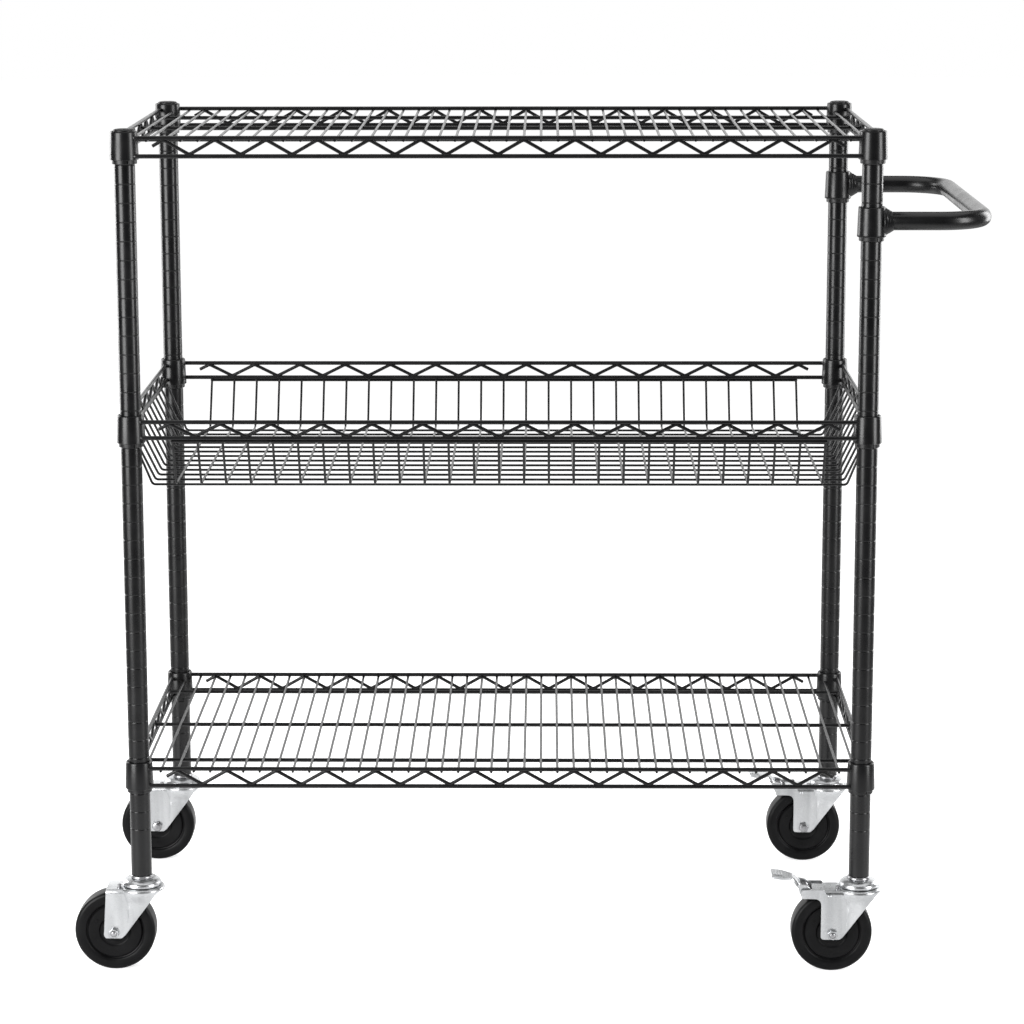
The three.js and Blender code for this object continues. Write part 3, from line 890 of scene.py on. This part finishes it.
def stem_shell(x, y):
    """The kingpin, the cup over the bearing, the nut collar and the stem inside the post."""
    shell = Shell()
    profile = [
        (0.0, -6.8), (5.5, -6.7), (7.4, -6.2), (8.0, -5.2), (7.9, -3.8), (5.0, -3.8), (5.0, 3.2),
        (14.0, 3.2), (15.2, 3.6), (18.8, 3.6), (20.2, 2.9), (22.6, 2.4), (23.4, 2.6),
        (23.8, 3.2), (23.8, 4.9), (23.3, 6.4), (22.2, 7.8), (20.5, 9.1), (18.2, 10.1),
        (15.5, 10.8), (13.4, 11.1), (10.9, 11.2), (10.9, 42.2), (10.2, 43.0), (0.0, 43.0),
    ]
    lathe(shell, profile, 64, (x, y, FORK_TOP))
    ring = [
        (11.0, 11.25), (13.1, 11.25), (13.7, 11.8), (13.8, 12.9), (13.4, 14.1), (12.7, 14.7),
        (11.0, 14.7), (11.0, 11.25),
    ]
    lathe(shell, ring, 64, (x, y, FORK_TOP), mat=1)
    return shell


def bearing_shell(x, y):
    """Balls in a thin ring between the fork's crown and the cup."""
    shell = Shell()
    cage = [(15.6, 0.9), (18.4, 0.9), (18.4, 1.5), (15.6, 1.5), (15.6, 0.9)]
    lathe(shell, cage, 48, (x, y, FORK_TOP))
    balls, ball_r, race_r = 18, 1.25, 17.0
    steps = 8
    arc = [math.pi * i / steps for i in range(steps + 1)]
    ball = [(ball_r * math.sin(polar), -ball_r * math.cos(polar)) for polar in arc]
    for k in range(balls):
        a = 2 * math.pi * k / balls
        lathe(shell, ball, 12, (x + race_r * math.cos(a), y + race_r * math.sin(a), FORK_TOP + 1.58))
    return shell


# Outlines of one cheek in X and Z from the axle, and the rounding of each corner.
PLAIN_CHEEK = [(-13, -4), (-10.5, -7.7), (9, -7.7), (13.5, -3.5), (46.6, 41.5), (50, 50.5), (-9.4, 50.5)]
PLAIN_ROUND = [4, 3.5, 4, 6, 6, 0, 0]
BRAKE_CHEEK = [
    (-14, -7.3), (9, -7.3), (13.5, -3.5), (46.6, 41.5), (50, 50.5), (-8.0, 50.5), (-10.5, 56.4),
    (-36, 56.4), (-38.6, 54.4), (-38.6, 44.7), (-14, 44.7),
]
BRAKE_ROUND = [4.5, 4, 6, 6, 0, 3, 3, 2, 2, 2.5, 9]


def channel_half(outer_y, corner_r):
    """One half of the channel's outline in Y and Z: up the side and round the corner."""
    points = [(-outer_y, FORK_UNDER - 0.5)]
    steps = 6
    for k in range(steps + 1):
        a = math.pi / 2 * k / steps
        across = -outer_y + corner_r - corner_r * math.cos(a)
        points.append((across, FORK_TOP - CHANNEL_BEND + corner_r * math.sin(a)))
    return points


def add_channel(shell, x, y, back):
    """The channel over the wheel: an arch in Y and Z swept along X, a touch smaller at its ends."""
    sheet = FORK_OUTER - FORK_INNER
    outer = channel_half(FORK_OUTER, CHANNEL_BEND)
    outer += [(-v, h) for v, h in reversed(outer)]
    inner = channel_half(FORK_INNER, CHANNEL_BEND - sheet)
    inner += [(-v, h) for v, h in reversed(inner)]
    section = outer + inner[::-1]
    low, high = x - TRAIL - back, x - TRAIL + CHANNEL_FRONT
    stations = ((low, 0.993), (low + 0.5, 1.0), (high - 0.5, 1.0), (high, 0.993))
    verts = []
    for place_x, scale in stations:
        for v, h in section:
            verts.append((place_x, y + v * scale, FORK_UNDER + (h - FORK_UNDER) * scale))
    n = len(section)
    ends = [list(range(n)), [3 * n + i for i in range(n)]]
    shell.add(verts, ends + ring_faces(len(stations), n))


def fork_shell(x, y, braked):
    """The pressed steel fork: two cheeks, a channel over the wheel and the round crown."""
    shell = Shell()
    outline = BRAKE_CHEEK if braked else PLAIN_CHEEK
    radii = BRAKE_ROUND if braked else PLAIN_ROUND
    flat = rounded([(u, v, 0) for u, v in outline], radii, 6, closed=True)
    cheek = [(p.x, p.y) for p in flat]
    axle = (x - TRAIL, y, WHEEL_R)
    for side in (-1, 1):
        low, high = sorted((side * FORK_INNER, side * FORK_OUTER))
        plate(shell, cheek, low, high, 0.45, axle)
        add_skirt(shell, x, y, side)
    add_channel(shell, x, y, BRAKE_CHANNEL_BACK if braked else CHANNEL_BACK)
    crown = [
        (5.6, -3.4), (27.0, -3.4), (27.8, -2.8), (28.0, -1.9), (27.9, -0.9), (27.4, 0.1), (26.4, 0.9),
        (24.8, 1.4), (22.6, 1.5), (21.0, 1.2), (19.6, -0.3), (17.0, -0.65), (14.4, -0.3), (13.4, 0.2),
        (9.0, 0.2), (5.6, 0.0), (5.6, -3.4),
    ]
    lathe(shell, crown, 72, (x, y, FORK_TOP))
    nipple = [
        (0.0, -0.5), (3.2, -0.5), (3.2, 1.2), (1.9, 1.5), (1.8, 2.6), (2.6, 3.4), (2.6, 4.4), (1.3, 5.2),
        (0.0, 5.3),
    ]
    lathe(shell, nipple, 24, (x - 26.5, y - 10.0, FORK_TOP), mat=1)
    if braked:
        for side in (-1, 1):
            face = side * FORK_OUTER
            rivet = [(0.0, 0.8), (1.2, 0.7), (2.0, 0.3), (2.2, 0.0)]
            spot = (x - TRAIL - 3.8, y, WHEEL_R + 48.0)
            lathe(shell, [(r, face + side * h) for r, h in rivet], 20, spot, axis="Y")
    return shell


def eased(t):
    """A smooth step from 0 to 1, flat before and after."""
    t = min(1.0, max(0.0, t))
    return t * t * (3 - 2 * t)


def add_skirt(shell, x, y, side):
    """The drawn part of a cheek: it swells from a crease out to the round crown."""
    rows, columns = 30, 18
    low, high = WHEEL_R + 2.5, FORK_TOP - 1.6
    foot_z, knee_z = WHEEL_R - 3.5, WHEEL_R + 46.0
    verts = []
    for i in range(rows + 1):
        z = low + (high - low) * i / rows
        near_crown = eased((z - 84) / (high - 84))
        left = -16.0 - 3.8 * near_crown
        along = min(1.0, (z - foot_z) / (knee_z - foot_z))
        right = -19.5 + 36.5 * along + 6.5 * eased((z - knee_z) / (high - knee_z))
        right = max(right - 0.6, left + 0.2)
        for k in range(columns + 1):
            u = k / columns
            px = left + (right - left) * u
            rim = math.sqrt(max(0.0, CROWN_R ** 2 - px ** 2)) - FORK_OUTER
            swell = min(1.0, u / 0.1) * (1 - u ** 3)
            lift = rim * near_crown if rim > 0 or near_crown > 0.6 else 0.0
            bulge = 2.1 * swell * eased((z - low) / 26) * (1 - 0.7 * near_crown)
            verts.append((x + px, y + side * (FORK_OUTER + 0.02 + lift + bulge), z))
    faces = []
    for i in range(rows):
        for k in range(columns):
            a = i * (columns + 1) + k
            faces.append([a, a + 1, a + columns + 2, a + columns + 1])
    shell.add(verts, faces)


def wheel_shell(x, y):
    """A moulded wheel: hub, recessed web, raised ring and rounded tread, in (radius, half width)."""
    shell = Shell()
    half = [
        (6.5, 15.2), (7.1, 15.8), (11.4, 15.8), (12.0, 15.2), (12.6, 12.6), (13.4, 11.9), (17.6, 11.6),
        (18.6, 11.9), (19.6, 13.2), (20.8, 13.5), (29.0, 13.2), (31.0, 13.5), (32.4, 13.3), (33.2, 12.3),
        (34.2, 11.4), (35.2, 11.9), (36.0, 13.6), (37.0, 14.3), (44.6, 14.3), (46.8, 13.7), (48.4, 12.4),
        (49.3, 10.8), (49.5, 8.5),
    ]
    profile = [(r, -v) for r, v in half] + [(WHEEL_R, 0.0)] + [(r, v) for r, v in reversed(half)]
    profile.append(profile[0])
    lathe(shell, profile, 112, (x - TRAIL, y, WHEEL_R), axis="Y")
    # The mould line round the tread, and three small moulded pips on each side.
    seam = []
    seam_r, seam_steps = WHEEL_R - 0.2, 72
    for k in range(seam_steps):
        a = 2 * math.pi * k / seam_steps
        seam.append((x - TRAIL + seam_r * math.cos(a), y, WHEEL_R + seam_r * math.sin(a)))
    tube(shell, seam, 0.2, 6, closed=True)
    pips, pips_r = 3, 26.0
    for side in (-1, 1):
        for k in range(pips):
            a = 2 * math.pi * (k / pips + 0.08)
            spot = (x - TRAIL + pips_r * math.cos(a), y, WHEEL_R + pips_r * math.sin(a))
            pip = [(0.0, side * 13.95), (1.5, side * 14.0), (1.8, side * 13.7)]
            lathe(shell, pip, 16, spot, axis="Y")
    return shell


def bush_shell(x, y):
    """The bronze bush between axle bolt and hub."""
    shell = Shell()
    end = 16.6
    profile = [(4.4, -end), (5.7, -end), (6.0, 0.3 - end), (6.0, end - 0.3), (5.7, end), (4.4, end)]
    profile.append(profile[0])
    lathe(shell, profile, 36, (x - TRAIL, y, WHEEL_R), axis="Y")
    return shell


def bolt_shell(x, y, out):
    """Axle bolt: out is the side of its nut. A domed head on the other side, thread at the tip."""
    shell = Shell()
    axle = (x - TRAIL, y, WHEEL_R)
    face = FORK_OUTER + NUT_GAP
    shank = [(0.0, -out * (face + 1)), (4.0, -out * (face + 1)), (4.0, out * face)]
    turn = face
    while turn < face + 6.0:
        shank += [(3.4, out * (turn + 0.1)), (3.05, out * (turn + 0.5)), (3.4, out * (turn + 0.9))]
        turn += 1.0
    shank += [(2.9, out * (face + 6.4)), (2.4, out * (face + 6.6)), (0.0, out * (face + 6.6))]
    lathe(shell, shank, 28, axle, axis="Y")
    low, high = sorted((-out * face, -out * (face + 3.6)))
    plate(shell, hexagon(HEAD_R, 12), low, high, 0.5, axle)
    dome = [(6.0, -out * (face + 3.4)), (5.6, -out * (face + 4.2)), (4.2, -out * (face + 4.8)),
            (2.2, -out * (face + 5.0)), (0.0, -out * (face + 5.0))]
    lathe(shell, dome, 32, axle, axis="Y")
    return shell


def nut_shell(x, y, out):
    """A hexagon nut with bevelled corners and a bore for the bolt's tip."""
    shell = Shell()
    axle = (x - TRAIL, y, WHEEL_R)
    face = FORK_OUTER + NUT_GAP
    n = 36
    angles = [2 * math.pi * k / n for k in range(n)]
    outer = []
    for a in angles:
        off = (a + math.radians(18)) % (math.pi / 3) - math.pi / 6
        outer.append(NUT_FLAT / math.cos(off))
    # The radii and the height of each ring, round the outside and back down the bore.
    bevels = ((0.93, 0.0), (1.0, 0.4), (1.0, 4.5), (0.93, 5.0))
    rings = [([r * scale for r in outer], h) for scale, h in bevels]
    rings += [([r] * n, h) for r, h in ((4.1, 5.0), (3.6, 4.5), (3.6, 0.0))]
    verts = []
    for radii, h in rings:
        for a, r in zip(angles, radii):
            verts.append((axle[0] + r * math.cos(a), axle[1] + out * (face + h), axle[2] + r * math.sin(a)))
    faces = ring_faces(len(rings), n)
    last = (len(rings) - 1) * n
    for k in range(n):
        m = (k + 1) % n
        faces.append([last + k, last + m, m, k])
    shell.add(verts, faces)
    return shell


def pedal_shell(x, y):
    """The foot pedal on its pin: a bent plate with turned-down edges, ribs and a spring."""
    # The plate's half widths grow from its neck towards the pin and towards its foot end.
    shell = Shell()
    px, pz = x - TRAIL + PIVOT_X, WHEEL_R + PIVOT_Z
    path = rounded([(-5.2, 3.6, 0), (-8.0, 7.5, 0), (-15, 15, 0), (-28, 17.2, 0), (-41, 19.2, 0)], 5.0, 6)
    spine = [(p.x, p.y) for p in path]
    widths = []
    for u, _ in spine:
        t = eased((-u - 19) / 9)
        s = eased((u + 17) / 9)
        widths.append(PEDAL_NECK + (PEDAL_PLATE - PEDAL_NECK) * t + (PEDAL_AT_PIN - PEDAL_NECK) * s)
    # Two more rows near the tip round off its corners.
    corner = 3.5
    widths[-1] -= corner
    spine.insert(-1, (spine[-1][0] + corner * 0.3, spine[-1][1] - corner * 0.07))
    widths.insert(-1, PEDAL_PLATE - corner * 0.35)
    spine.insert(-2, (spine[-1][0] + corner, spine[-1][1] - corner * 0.2))
    widths.insert(-2, PEDAL_PLATE)
    columns = 13
    top, bottom = [], []
    count = len(spine)
    for i, (u, v) in enumerate(spine):
        a = spine[max(0, i - 1)]
        b = spine[min(count - 1, i + 1)]
        d = Vector((b[0] - a[0], b[1] - a[1])).normalized()
        nx, nz = d.y, -d.x
        if nz < 0:
            nx, nz = -nx, -nz
        for k in range(columns):
            w = -1 + 2 * k / (columns - 1)
            curl = 1.9 * max(0.0, abs(w) - 0.78) / 0.22
            curl = curl * curl / 1.9
            for rows, lift in ((top, PEDAL_SHEET / 2), (bottom, -PEDAL_SHEET / 2)):
                rows.append((px + u + nx * (lift - curl), y + w * widths[i], pz + v + nz * (lift - curl)))
    faces = []
    half = count * columns
    for i in range(count - 1):
        for k in range(columns - 1):
            a = i * columns + k
            faces.append([a, a + 1, a + columns + 1, a + columns])
            faces.append([half + a, half + a + columns, half + a + columns + 1, half + a + 1])
        for k in (0, columns - 1):
            a = i * columns + k
            faces.append([a, a + columns, half + a + columns, half + a])
    for i in (0, count - 1):
        for k in range(columns - 1):
            a = i * columns + k
            faces.append([a, half + a, half + a + 1, a + 1])
    shell.add(top + bottom, faces)
    for u in (-29.0, -32.5, -36.0):
        v = 17.2 + (-28 - u) * 2 / 13 + 1.3
        tube(shell, ((px + u, y - 9.5, pz + v), (px + u, y + 9.5, pz + v)), 0.85, 8)
    corners = [(-9.5, 9, 0), (-7, -4, 0), (0, -6.8, 0), (6.2, -3, 0), (6.6, 3, 0), (2, 6.4, 0)]
    ear = [(p.x, p.y) for p in rounded(corners, 3.5, 5, closed=True)]
    for low in (-14.8, 12.6):
        plate(shell, ear, low, low + PEDAL_SHEET, 0.4, (px, y, pz))
    pin = [(0.0, -19.3), (2.1, -19.3), (2.5, -18.9), (2.5, 18.9), (2.1, 19.3), (0.0, 19.3)]
    lathe(shell, pin, 24, (px, y, pz), axis="Y", mat=1)
    coil = []
    turns, per = 7, 16
    for k in range(turns * per + 1):
        a = 2 * math.pi * k / per
        w = -10.2 + 20.4 * k / (turns * per)
        coil.append((px + 4.3 * math.cos(a), y + w, pz + 4.3 * math.sin(a)))
    coil.append((px + 9.5, y + 10.3, pz + 2.4))
    tube(shell, coil, 0.75, 8, mat=1)
    return shell


def pad_shell(x, y):
    """The brake pad on its steel backing, under the pedal's pin."""
    shell = Shell()
    px, pz = x - TRAIL + PIVOT_X, WHEEL_R + PIVOT_Z
    outline = [(-4, -6.5), (-4, -11.3), (-1.5, -12.2), (1.5, -12.2), (4, -11.3), (4, -6.5)]
    plate(shell, outline, -10, 10, 0.6, (px, y, pz))
    backing = [(-4.2, -6.45), (-4.2, -7.6), (4.2, -7.6), (4.2, -6.45)]
    plate(shell, backing, -10.2, 10.2, 0.3, (px, y, pz), mat=1)
    return shell


for place, (post_x, post_y) in POSTS.items():
    swivel, roller = "swivel_" + place, "roller_" + place
    braked = post_x > MID_X
    out = 1 if post_y > 0 else -1
    finish_piece("stem_cup_" + place, stem_shell(post_x, post_y), "cart", ["stem_" + place],
                 [ZINC, STEEL])
    finish_piece("fork_pressed_" + place, fork_shell(post_x, post_y, braked), swivel,
                 ["fork_" + place], [ZINC, STEEL])
    finish_piece("bearing_balls_" + place, bearing_shell(post_x, post_y), swivel,
                 ["ball_ring_" + place], [STEEL])
    finish_piece("axle_bush_" + place, bush_shell(post_x, post_y), swivel, ["bush_" + place],
                 [BRONZE])
    finish_piece("axle_bolt_" + place, bolt_shell(post_x, post_y, out), swivel, ["bolt_" + place],
                 [STEEL])
    finish_piece("axle_nut_" + place, nut_shell(post_x, post_y, out), swivel, ["nut_" + place],
                 [ZINC])
    finish_piece("wheel_moulded_" + place, wheel_shell(post_x, post_y), roller, ["wheel_" + place],
                 [WHEEL])
    if braked:
        brake = "brake_" + place
        finish_piece("pedal_pressed_" + place, pedal_shell(post_x, post_y), brake,
                     ["brake_pedal_" + place], [ZINC, STEEL])
        finish_piece("pad_moulded_" + place, pad_shell(post_x, post_y), brake,
                     ["brake_pad_" + place], [PAD, ZINC])
